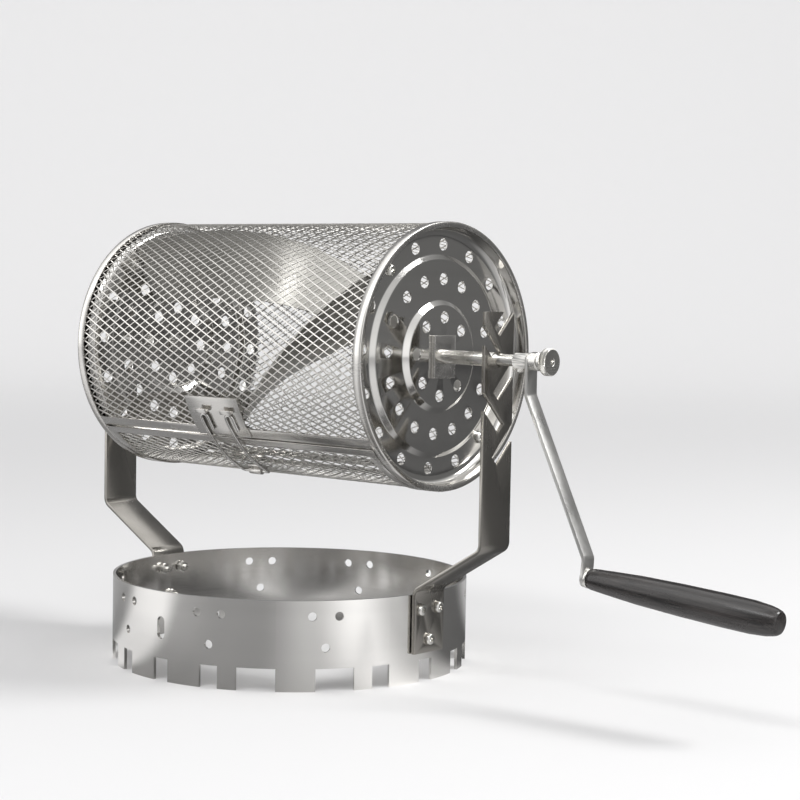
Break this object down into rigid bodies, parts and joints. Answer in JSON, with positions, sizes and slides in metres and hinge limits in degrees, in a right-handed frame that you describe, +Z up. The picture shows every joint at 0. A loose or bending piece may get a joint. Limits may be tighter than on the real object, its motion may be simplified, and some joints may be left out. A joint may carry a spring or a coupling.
{
  "type": "stovetop coffee bean roaster",
  "caption": "Hand cranked mesh drum with a hinged, latched door, hung between two slotted arms over a round gas ring stand, for roasting coffee beans on a stove.",
  "frame": {"origin": "centre of the base ring at the level of the surface it stands on", "axes": "+X along the drum's axle towards the crank, +Y to the back, +Z up"},
  "size_m": [0.4243, 0.182, 0.224],
  "materials": {
    "ring_steel": "fine brushed stainless steel",
    "arm_steel": "satin stainless steel strip, warm grey",
    "sheet_steel": "bright stainless steel sheet",
    "mesh_steel": "expanded stainless steel mesh",
    "polished_steel": "mirror polished stainless steel",
    "crank_steel": "brushed steel strip",
    "fastener_steel": "bright turned steel",
    "wire_steel": "bright spring wire",
    "pale_bush": "pale heat resistant plastic",
    "lacquered_wood": "gloss black lacquer on turned wood"
  },
  "bodies": {
    "base": {"base_ring": "ring_steel", "right_arm": "arm_steel", "left_arm": "arm_steel", "arm_bolts": "fastener_steel", "arm_nuts": "fastener_steel"},
    "bush": {"spacer_bush": "pale_bush"},
    "drum": {"drum_mesh": "mesh_steel", "front_strip": "sheet_steel", "hinge_strip": "sheet_steel", "right_rim": "polished_steel", "left_rim": "polished_steel", "right_end_plate": "polished_steel", "left_end_plate": "polished_steel", "right_hub_plate": "sheet_steel", "left_hub_plate": "sheet_steel", "crank_axle": "fastener_steel", "idle_axle": "fastener_steel", "front_vane": "sheet_steel", "back_vane": "sheet_steel", "vane_bolts": "fastener_steel", "vane_nuts": "fastener_steel", "latch_bracket": "sheet_steel", "crank_arm": "crank_steel", "handle_spindle": "fastener_steel", "handle_washer": "fastener_steel"},
    "grip": {"handle_grip": "lacquered_wood"},
    "thumb_screw": {"thumb_screw": "fastener_steel"},
    "door": {"door_frame": "sheet_steel", "door_mesh": "mesh_steel", "hinge_pins": "fastener_steel", "bail_lug": "sheet_steel"},
    "bail": {"latch_bail": "wire_steel"}
  },
  "joints": [
    {"name": "drum_lift", "type": "slide", "parent": "base", "child": "bush", "axis": [0, -0.7071, 0.7071], "range_m": [0, 0.05]},
    {"name": "drum_spin", "type": "hinge", "parent": "bush", "child": "drum", "pos_m": [0, 0, 0.159], "axis": [1, 0, 0], "continuous": true},
    {"name": "grip_spin", "type": "hinge", "parent": "drum", "child": "grip", "pos_m": [0.18476, 0, 0.0615], "axis": [0.9966, 0, -0.0819], "continuous": true},
    {"name": "screw_release", "type": "slide", "parent": "drum", "child": "thumb_screw", "axis": [1, 0, 0], "range_m": [0, 0.011]},
    {"name": "door_hinge", "type": "hinge", "parent": "drum", "child": "door", "pos_m": [0.0045, 0.02453, 0.09735], "axis": [1, 0, 0], "range_deg": [0, 55]},
    {"name": "latch_swing", "type": "hinge", "parent": "door", "child": "bail", "pos_m": [0.001, -0.02715, 0.09802], "axis": [1, 0, 0], "range_deg": [0, 120]}
  ]
}
